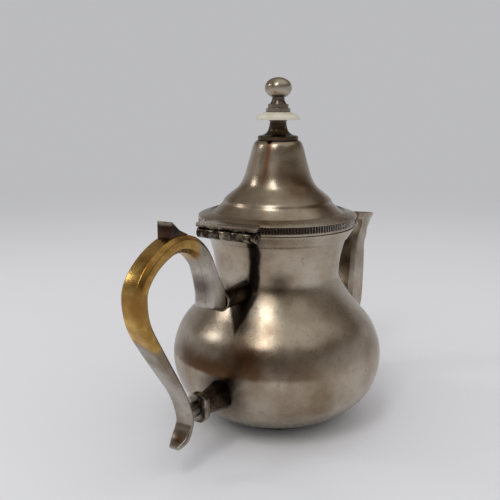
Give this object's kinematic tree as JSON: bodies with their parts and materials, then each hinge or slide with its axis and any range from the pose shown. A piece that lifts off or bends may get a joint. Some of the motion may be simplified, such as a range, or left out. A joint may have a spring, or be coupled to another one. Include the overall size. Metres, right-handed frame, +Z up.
{
  "type": "metal coffee pot with hinged lid",
  "caption": "Small pear-bellied metal pot with a faceted swan-neck spout, a looped cast handle and a hinged bell lid under a ball finial on a pale disc; for brewing and pouring",
  "frame": {"origin": "centre of the base, on the plane it stands on", "axes": "+Z up along the axis of the pot, +X towards the spout, -X towards the handle and the lid hinge"},
  "size_m": [0.2322, 0.1066, 0.1724],
  "materials": {
    "silver_plate": "silver plate on brass, polished, with warm tarnish",
    "worn_brass": "cast brass, plating worn through on the grip",
    "dark_bronze": "dark tarnished brass",
    "pale_bone": "milky insulating disc, satin",
    "steel": "plain turned wire and rod"
  },
  "bodies": {
    "pot": {"pot_body": "silver_plate", "base_plate": "silver_plate", "neck_band": "silver_plate", "gadroon_border": "silver_plate", "spout": "silver_plate", "handle": "worn_brass", "thumb_rest": "dark_bronze", "upper_handle_socket": "silver_plate", "upper_handle_ring": "silver_plate", "upper_handle_stud": "steel", "lower_handle_socket": "silver_plate", "lower_handle_ring": "silver_plate", "lower_handle_stud": "steel", "hinge_pot_leaf": "silver_plate", "hinge_pin": "steel"},
    "lid": {"lid_dome": "silver_plate", "lid_bezel": "silver_plate", "hinge_lid_leaf": "silver_plate", "finial_base": "silver_plate", "finial_disc": "pale_bone", "finial_knob": "silver_plate", "finial_stud": "steel", "finial_washer": "silver_plate", "finial_nut": "silver_plate"}
  },
  "joints": [
    {"name": "lid_hinge", "type": "hinge", "parent": "pot", "child": "lid", "pos_m": [-0.045, 0, 0.1016], "axis": [0, -1, 0], "range_deg": [0, 100]}
  ]
}
